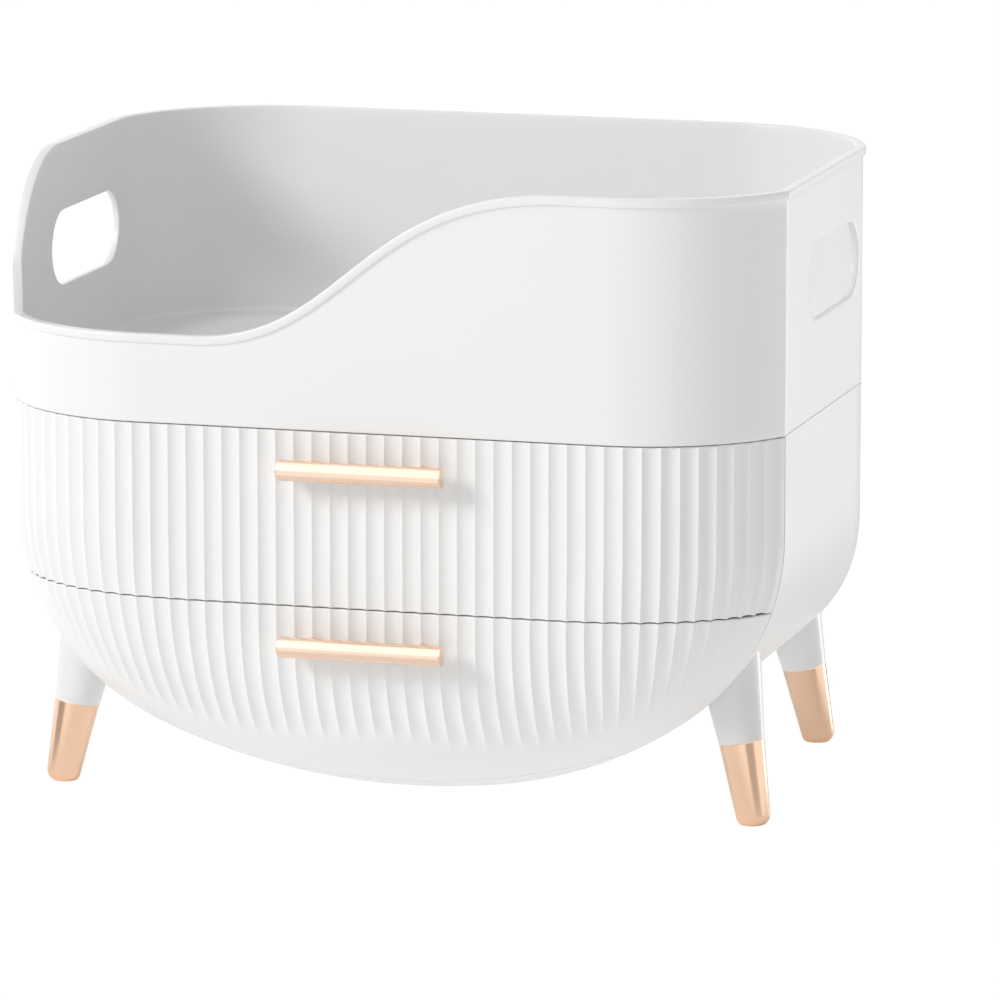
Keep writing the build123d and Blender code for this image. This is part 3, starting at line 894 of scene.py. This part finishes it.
class ORGANIZER_OT_fronts(bpy.types.Operator):
    """Drawer fronts: bowed panels with flutes that follow the belly and run out before its edge"""

    bl_idname = "organizer.fronts"
    bl_label = "Build drawer fronts"

    flute_samples = 10
    side_columns = (1.0, 0.6, 0.3, 0.1, 0.0)
    end_rows = (0, 0.0015, 0.004, 0.008)
    first_row = 0.015
    upper_rows = 20
    lower_rows = 56
    highest_end = 0.058

    def top_x(self, along):
        """X at a distance along the bowed front, seen from above: flat, then round the front arc."""
        plan = Plan()
        turn = np.clip((np.abs(along) - plan.front_x) / plan.front_round, 0, None)
        far = np.where(turn > 0, plan.front_x + plan.front_round * np.sin(turn), np.abs(along))
        x = np.sign(along) * np.minimum(far, half_width)
        x[0], x[-1] = -half_width, half_width
        return x

    def lean(self, x, z):
        """X of a flute lower down: it leans in with the casing's outline, by the cube of its place."""
        narrow = 1 - arch_half(z, *casing_arch()) / half_width
        return x * (1 - np.abs(x / half_width) ** 3 * narrow)

    def lower_end(self, x):
        """Height where each upright line of the lower front leaves its outline.

        No line ends higher than the side arc is at a share of the half width, and the outermost ones,
        which follow the outline, end there.
        """
        body = body_sizes()

        def outside(z):
            leant = self.lean(x, z)
            return np.minimum(arch_inset(leant, z, *casing_arch()), crease_y - front_depth(leant, z)) <= 0

        end = turning_place(x.size, body.belly_bottom, self.highest_end, outside)
        side_x = bpy.context.scene.organizer_drawers.side_end * half_width
        off = side_x - half_width + body.side_arc
        limit = body.side_arc_height - math.sqrt(body.side_arc**2 - off**2)
        return np.where(np.abs(x) >= half_width - tolerance, limit, np.minimum(end, limit))

    def hollow(self, along, sizes):
        """Depth of the flutes: a shallow circular hollow between two ridges, none past the last flute."""
        pitch, depth = sizes.flute_pitch, sizes.flute_depth
        place = np.abs(along) / pitch
        across = (place - np.floor(place + tiny) - 0.5) * pitch
        bend = ((pitch / 2) ** 2 + depth**2) / (2 * depth)
        hollow = np.maximum(np.sqrt(bend**2 - across**2) - (bend - depth), 0)
        return np.where(place > sizes.flute_count + tiny, 0, hollow)

    def fade(self, x, z, sizes):
        """Share of a flute's depth that is left near the belly's edge.

        Half of it is left on a line that keeps one distance from the edge in the middle and another at
        the sides, and a smooth step takes it from full to none across that line.
        """
        bend = sizes.fade_bend
        off = (np.hypot(x / half_width, bend) - bend) / (math.hypot(1, bend) - bend)
        line = sizes.fade_middle + (sizes.fade_side - sizes.fade_middle) * (1 - (1 - off) ** 2)
        share = np.clip((arch_inset(x, z, *casing_arch()) - line) / sizes.fade_length + 0.5, 0, 1)
        return share * share * (3 - 2 * share)

    def panel(self, low_z, high_z, on_belly):
        """Closed panel: fluted outer face, plain inner face and the rim between them.

        Columns are distances along the front, rows go from the upper edge to the lower one. The inner
        face is the plain front, one wall behind, and stops at the parting plane.
        """
        sizes = bpy.context.scene.organizer_drawers
        edge_round = body_sizes().edge_round
        last = Plan().marks[2]
        samples = sizes.flute_count * self.flute_samples
        flutes = np.linspace(0, sizes.flute_count * sizes.flute_pitch, samples + 1)
        half_columns = np.concatenate([flutes, last - np.array(self.side_columns) * edge_round])
        along = np.concatenate([-half_columns[:0:-1], half_columns])
        ends = np.array(self.end_rows)
        row_count = self.lower_rows if on_belly else self.upper_rows
        between = np.linspace(self.first_row, 1 - self.first_row, row_count)
        rows = np.concatenate([ends, between, 1 - ends[::-1]])[:, None]
        top_x = self.top_x(along)
        end = self.lower_end(top_x) if on_belly else np.full(top_x.size, low_z)
        z = high_z + (end - high_z) * rows
        x = self.lean(top_x, z)
        plain = grid(x, np.minimum(front_depth(x, z), crease_y), z)
        normal = front_normal(x, z)
        down = np.cumsum(np.linalg.norm(np.diff(plain, axis=0, prepend=plain[:1]), axis=-1), axis=0)
        from_edge = down if on_belly else np.minimum(down, down[-1] - down)
        from_side = last - np.abs(along)
        fall = np.maximum(round_over(from_edge, edge_round), round_over(from_side, edge_round))
        strength = self.fade(x, z, sizes) if on_belly else 1.0
        base = plain - normal * fall[..., None]
        outer = base - normal * (self.hollow(along, sizes) * strength)[..., None]
        parting_y = crease_y + sizes.front_reach
        for face in (base, outer):
            face[..., 1] = np.minimum(face[..., 1], parting_y)
        # The inner face steps back level at the upper edge and square to the front two walls lower down.
        inwards = normal * grid(1, 1, np.clip((high_z - z) / (2 * sizes.panel_wall), 0, 1))
        room = (parting_y - base[..., 1]) / np.maximum(-normal[..., 1], tolerance)
        inner = base - inwards * np.minimum(sizes.panel_wall, room)[..., None]
        level_low = -math.inf if on_belly else low_z
        return [outer, inner, *self.rim(outer, inner, parting_y, level_low, high_z)]

    def rim(self, outer, inner, parting_y, low_z, high_z):
        """Strips from the outer face's border to the parting plane and on to the inner face's border.

        Along a level edge the middle row lies halfway between the two borders instead.
        """
        edge, back = [np.concatenate([face[0], face[1:, -1], face[-1, -2::-1], face[-2::-1, 0]])
                      for face in (outer, inner)]
        level = (edge[:, 2] > high_z - least_edge) | (edge[:, 2] < low_z + least_edge)
        turned = edge.copy()
        turned[:, 1] = parting_y
        turned = np.where(level[:, None], (edge + back) / 2, turned)
        return strip(edge, turned), strip(turned, back)

    def execute(self, context):
        upper = self.panel(upper_low.z, upper_high.z, False)
        lower = self.panel(body_sizes().belly_bottom, lower_front_top, True)
        for drawer, patches in (("upper", upper), ("lower", lower)):
            finish_piece(drawer + "_front", patches, white_plastic(), drawer + "_drawer",
                         drawer + "_drawer_front")
            dress_nodes(inner_plastic(), drawer + "_drawer_tub")
        return {"FINISHED"}


class ORGANIZER_OT_handles(bpy.types.Operator):
    """Handles: round metal bars with rounded ends, on two posts each"""

    bl_idname = "organizer.handles"
    bl_label = "Build handles"

    def bar(self, low, high, edge):
        """Surface of revolution: a straight bar whose ends round over into flat faces."""
        radius = (high.z - low.z) / 2
        axis_y, axis_z = (low.y + high.y) / 2, (low.z + high.z) / 2
        half = (high.x - low.x) / 2
        down, across = quarter_round(edge, points=6)
        end_x = np.concatenate([[half, half], half - across[1:]])
        end_radius = np.concatenate([[0, radius - edge], radius - down[1:]])
        x = np.concatenate([-end_x, [-half / 2, 0, half / 2], end_x[::-1]])
        radii = np.concatenate([end_radius, np.full(3, radius), end_radius[::-1]])
        turn = np.linspace(0, 2 * math.pi, circle_points)[:, None]
        return grid(x, axis_y + radii * np.cos(turn), axis_z + radii * np.sin(turn))

    def execute(self, context):
        edge = context.scene.organizer_metal.bar_round
        for drawer in ("upper", "lower"):
            handle = drawer + "_handle_"
            bar = self.bar(*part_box(handle + "bar"), edge)
            finish_piece(drawer + "_bar", [bar], pale_gold(), drawer + "_drawer", handle + "bar")
            dress_nodes(pale_gold(), handle + "posts")
            dress_nodes(steel(), handle + "screws")
        return {"FINISHED"}


class ORGANIZER_OT_legs(bpy.types.Operator):
    """Legs: white tapered shafts that run up into the belly, in rounded metal caps"""

    bl_idname = "organizer.legs"
    bl_label = "Build legs"

    tip_points = 12
    cap_points = 8
    shaft_rows = 22
    cap_edge_slope = 0.3

    def axis(self, sizes, side, rear):
        """Foot point and unit direction of a leg's axis, which leans to its side and to the front or back."""
        if rear:
            foot = np.array([side * (half_width - sizes.rear_inset), back_face - sizes.rear_setback, 0.0])
            lean = math.tan(sizes.rear_splay)
        else:
            foot = np.array([side * (half_width - sizes.front_inset), crease_y + sizes.front_setback, 0.0])
            lean = -math.tan(sizes.front_splay)
        return foot, unit(np.array([-side * math.tan(sizes.side_splay), -lean, 1.0]))

    def turned(self, axis, height, radius):
        """Circles square to the axis: heights along it and radii give a surface of revolution."""
        foot, along = axis
        across = unit(np.cross(along, (0.0, 1.0, 0.0)))
        turn = np.linspace(0, 2 * math.pi, circle_points)[:, None]
        spokes = np.cos(turn) * across + np.sin(turn) * np.cross(along, across)
        return foot + height[..., None] * along + radius[..., None] * spokes

    def cap(self, axis, sizes):
        """Cap: flat tip, tip round, straight taper, small edge and flat top."""
        tip, soft, edge = sizes.cap_tip_radius, sizes.cap_tip_round, sizes.cap_edge
        top, end = sizes.cap_top_radius, sizes.cap_length
        rounding = np.linspace(-right_angle, 0, self.tip_points)
        tip_radii = np.array([0, 0.5 * (tip - soft), *(tip - soft + soft * np.cos(rounding))])
        tip_heights = np.array([0, 0, *(soft + soft * np.sin(rounding))]) - sizes.tip_trim
        low, high = tip_heights[-1], end - edge
        heights = np.linspace(low, high, self.cap_points)[1:]
        radii = tip + (top - edge * self.cap_edge_slope - tip) * (heights - low) / (high - low)
        heights = np.array([*tip_heights, *heights, end, end, end])[:, None]
        radii = np.array([*tip_radii, *radii, top - edge, top * 0.5, 0])[:, None]
        surface = self.turned(axis, heights, radii)
        surface[..., 2] = np.maximum(surface[..., 2], 0)
        return surface

    def shaft(self, axis, sizes):
        """Tapered shaft from the cap's top up to where each of its lines has gone into the casing."""
        top, start = sizes.cap_top_radius, sizes.cap_length
        edge = sizes.cap_edge
        grow = (sizes.leg_top_radius - top) / (sizes.leg_length - start)

        def outside(level):
            ring = self.turned(axis, level, top + grow * (level - start))
            return arch_inset(ring[:, 0], ring[:, 2], *casing_arch()) <= sizes.leg_sink

        level = turning_place(circle_points, start + edge, sizes.leg_length, outside)
        levels = start + edge + (level - start - edge) * steps(self.shaft_rows)
        levels = np.concatenate([np.full((2, circle_points), start), levels, levels[-1:]])
        radii = top + grow * (levels - start)
        radii[0], radii[1], radii[-1] = 0, top - edge, 0
        levels[-1] = level.mean()
        return self.turned(axis, levels, radii)

    def execute(self, context):
        sizes = context.scene.organizer_metal
        for rear in (False, True):
            for side in (-1, 1):
                axis = self.axis(sizes, side, rear)
                name = ("rear" if rear else "front") + ("_right" if side > 0 else "_left")
                finish_piece(name + "_cap", [self.cap(axis, sizes)], rose_gold(), "body",
                             name + "_leg_cap")
                finish_piece(name + "_shaft", [self.shaft(axis, sizes)], shaded_leg_plastic(), "body",
                             name + "_leg")
        dress_nodes(steel(), "leg_studs")
        return {"FINISHED"}


class ORGANIZER_OT_stage(bpy.types.Operator):
    """Stage: pale floor, white surroundings, soft lights and the camera"""

    bl_idname = "organizer.stage"
    bl_label = "Build stage"

    key_place = (-1.4, -1.45, 1.25)
    key_size = (0.75, 0.75)
    side_place = (1.05, 1.45, -0.15)
    side_size = (0.4, 0.8)
    lamp_aim = (0, 0, 0.1)
    floor_colour = (0.96, 0.96, 0.96, 1)
    floor_roughness = 0.9
    gloss_round = (0.7, 1.3)
    level_blend = (-0.3, 0.3)
    gap_blend = (-0.75, -0.1)
    upper_blend = (-0.05, 0.2)

    def glossy(self, tree):
        """One where a ray is a reflection."""
        return add_node(tree, "LightPath").outputs["Is Glossy Ray"]

    def direct(self, tree):
        """One where a ray comes from the camera, also through something clear."""
        path = add_node(tree, "LightPath").outputs
        return calculate(tree, "MAXIMUM", path["Is Camera Ray"], path["Is Transmission Ray"])

    def ramp(self, tree, value, given, result):
        """Smooth step of a value from one range to another."""
        ends = dict(zip(("From Min", "From Max", "To Min", "To Max"), (*given, *result)))
        step = add_node(tree, "MapRange", {"Value": value, **ends}, interpolation_type="SMOOTHSTEP")
        return step.outputs["Result"]

    def mix(self, tree, share, first, second):
        """First value where the share is none, second where it is full."""
        return add_node(tree, "Mix", {"Factor": share, "A": first, "B": second}).outputs["Result"]

    def mix_shaders(self, tree, share, first, second):
        """First shader where the share is none, second where it is full."""
        return add_node(tree, "MixShader", {0: share, 1: first, 2: second}).outputs["Shader"]

    def floor(self, settings):
        """Flat floor: white with a faint shadow to the camera, and with more of the shadow to gloss.

        Gloss sees a round of it. Light from below passes it.
        """
        corners = np.array([-settings.floor_reach, settings.floor_reach])
        mesh = piece_mesh("floor", [grid(corners, corners[:, None], 0.0)], closed=False)
        floor = bpy.data.objects.new("floor", mesh)
        bpy.context.scene.collection.objects.link(floor)
        material = bpy.data.materials.new("Pale floor")
        material.use_nodes = True
        tree = material.node_tree
        matt = tree.nodes["Principled BSDF"]
        matt.inputs["Base Color"].default_value = self.floor_colour
        matt.inputs["Roughness"].default_value = self.floor_roughness
        white = add_node(tree, "Emission", {"Strength": settings.floor_white}).outputs["Emission"]
        glossy = self.glossy(tree)
        share = self.ramp(tree, glossy, (0, 1), (settings.floor_share, settings.gloss_share))
        pale = self.mix_shaders(tree, share, matt.outputs["BSDF"], white)
        place = add_node(tree, "TexCoord").outputs["Object"]
        away = add_node(tree, "VectorMath", {0: place}, operation="LENGTH").outputs["Value"]
        near = self.ramp(tree, away, [settings.gloss_reach * share for share in self.gloss_round], (1, 0))
        in_gloss = calculate(tree, "MULTIPLY", glossy, near)
        shown = calculate(tree, "MAXIMUM", self.direct(tree), in_gloss)
        clear = add_node(tree, "BsdfTransparent").outputs["BSDF"]
        seen = self.mix_shaders(tree, shown, clear, pale)
        tree.links.new(seen, tree.nodes["Material Output"].inputs["Surface"])
        mesh.materials.append(material)

    def studio(self, settings):
        """World light: brighter from below and the left, by how far a direction leans from the upright.

        The camera sees plain white. Gloss sees a bright upper studio and a lower one with a few soft,
        darker upright gaps, so that metal shows bands.
        """
        world = bpy.data.worlds.new("Studio")
        bpy.context.scene.world = world
        world.use_nodes = True
        tree = world.node_tree
        place = add_node(tree, "TexCoord").outputs["Generated"]
        split = add_node(tree, "SeparateXYZ", {"Vector": place}).outputs
        lean = (math.sin(settings.light_lean), 0, math.cos(settings.light_lean))
        upright = add_node(tree, "VectorMath", {0: place, 1: lean}, operation="DOT_PRODUCT").outputs["Value"]
        level = self.ramp(tree, upright, self.level_blend, (settings.below, settings.above))
        turn = calculate(tree, "ARCTAN2", split["Y"], split["X"])
        waves = calculate(tree, "MULTIPLY_ADD", turn, settings.gap_count, settings.gap_turn)
        wave = calculate(tree, "COSINE", waves)
        gaps = self.ramp(tree, wave, self.gap_blend, (settings.gap_level, settings.gloss_below))
        upper = self.ramp(tree, split["Z"], self.upper_blend, (0, 1))
        gloss = self.mix(tree, upper, gaps, settings.gloss_above)
        light = self.mix(tree, self.glossy(tree), level, gloss)
        seen = self.mix(tree, self.direct(tree), light, 1.0)
        background = tree.nodes["Background"].inputs
        background["Color"].default_value = (1, 1, 1, 1)
        tree.links.new(seen, background["Strength"])

    def lamp(self, name, place, size, power):
        """Area lamp at a place, turned to the object's middle."""
        data = bpy.data.lights.new(name, "AREA")
        data.shape = "RECTANGLE"
        data.size, data.size_y = size
        data.energy = power
        lamp = bpy.data.objects.new(name, data)
        lamp.location = place
        lamp.rotation_euler = (Vector(self.lamp_aim) - Vector(place)).to_track_quat("-Z", "Y").to_euler()
        bpy.context.scene.collection.objects.link(lamp)

    def camera(self, settings):
        """Camera at its distance from its aim, turned by its yaw, pitch and roll."""
        yaw, pitch, roll = settings.yaw, settings.pitch, settings.roll
        level = math.cos(pitch)
        forward = Vector((-math.sin(yaw) * level, math.cos(yaw) * level, -math.sin(pitch)))
        right = Vector((math.cos(yaw), math.sin(yaw), 0))
        up = right.cross(forward)
        turned_right = right * math.cos(roll) + up * math.sin(roll)
        turned_up = up * math.cos(roll) - right * math.sin(roll)
        data = bpy.data.cameras.new("Camera")
        data.sensor_width = 36.0
        data.lens = settings.view_scale * data.sensor_width
        data.clip_end = 50
        camera = bpy.data.objects.new("Camera", data)
        place = Matrix.Translation(Vector(settings.aim) - forward * settings.distance)
        camera.matrix_world = place @ Matrix((turned_right, turned_up, -forward)).transposed().to_4x4()
        bpy.context.scene.collection.objects.link(camera)
        bpy.context.scene.camera = camera

    def execute(self, context):
        settings = context.scene.organizer_stage
        context.scene.view_settings.view_transform = "Standard"
        self.floor(settings)
        self.studio(settings)
        self.lamp("Key", self.key_place, self.key_size, settings.key_power)
        self.lamp("Side", self.side_place, self.side_size, settings.side_power)
        self.camera(settings)
        return {"FINISHED"}


class ORGANIZER_PT_panel(bpy.types.Panel):
    """Lists the pieces of the organizer"""

    bl_label = "Organizer"
    bl_idname = "ORGANIZER_PT_panel"
    bl_space_type = "VIEW_3D"
    bl_region_type = "UI"
    bl_category = "Organizer"

    def draw(self, context):
        for operator in operators:
            self.layout.operator(operator.bl_idname)


groups = {"organizer_body": BodySizes, "organizer_tray": TraySizes, "organizer_drawers": DrawerSizes,
          "organizer_metal": MetalSizes, "organizer_finish": Finishes, "organizer_stage": StageSettings}
operators = [ORGANIZER_OT_casing, ORGANIZER_OT_tray, ORGANIZER_OT_fronts, ORGANIZER_OT_handles,
             ORGANIZER_OT_legs, ORGANIZER_OT_stage]


def register():
    for cls in [*groups.values(), *operators, ORGANIZER_PT_panel]:
        bpy.utils.register_class(cls)
    for name, cls in groups.items():
        setattr(bpy.types.Scene, name, PointerProperty(type=cls))


def unregister():
    for name in groups:
        delattr(bpy.types.Scene, name)
    for cls in reversed([*groups.values(), *operators, ORGANIZER_PT_panel]):
        bpy.utils.unregister_class(cls)


def main():
    register()
    for operator in operators:
        category, name = operator.bl_idname.split(".")
        getattr(getattr(bpy.ops, category), name)()


if __name__ == "__main__":
    main()
